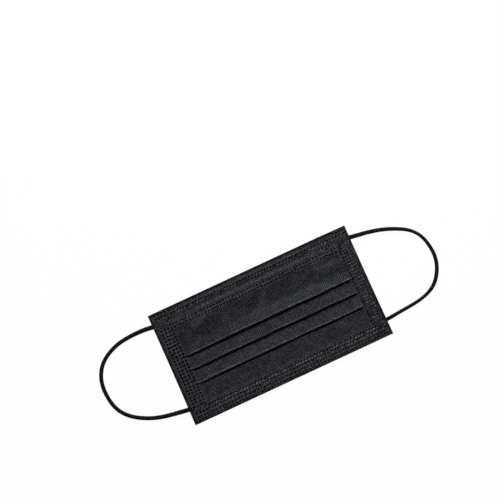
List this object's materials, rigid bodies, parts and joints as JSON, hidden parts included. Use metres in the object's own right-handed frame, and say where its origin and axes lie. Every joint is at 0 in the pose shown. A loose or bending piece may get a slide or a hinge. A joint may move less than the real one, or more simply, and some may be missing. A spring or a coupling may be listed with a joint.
{
  "type": "surgical mask",
  "caption": "Flat pleated face mask of layered nonwoven cloth, with folded hems, a nose wire, welded side bands and round elastic ear loops.",
  "frame": {"origin": "on the table, at the middle of the folded cloth's underside", "axes": "+X across the face to the wearer's left, +Y to the nose edge, +Z out of the mask's front side"},
  "size_m": [0.2907, 0.0954, 0.0055],
  "materials": {
    "panel_cloth": "black spunbond nonwoven with a fine embossed bond pattern, matt with a faint sheen",
    "hem_cloth": "black spunbond nonwoven folded over, with rows of small sunken weld dots",
    "band_cloth": "black nonwoven pressed flat in a grid of small glossy weld dots",
    "loop_elastic": "soft round knitted black elastic, matt",
    "wire_coat": "smooth black plastic over a flat soft wire"
  },
  "bodies": {
    "root": {"pleated_panel": "panel_cloth", "top_hem": "hem_cloth", "bottom_hem": "hem_cloth", "nose_wire": "wire_coat", "side_band_left": "band_cloth", "side_band_right": "band_cloth", "loop_end_left_top": "loop_elastic", "loop_end_left_bottom": "loop_elastic", "loop_end_right_top": "loop_elastic", "loop_end_right_bottom": "loop_elastic", "ear_loop_left": "loop_elastic", "ear_loop_right": "loop_elastic"}
  },
  "joints": []
}
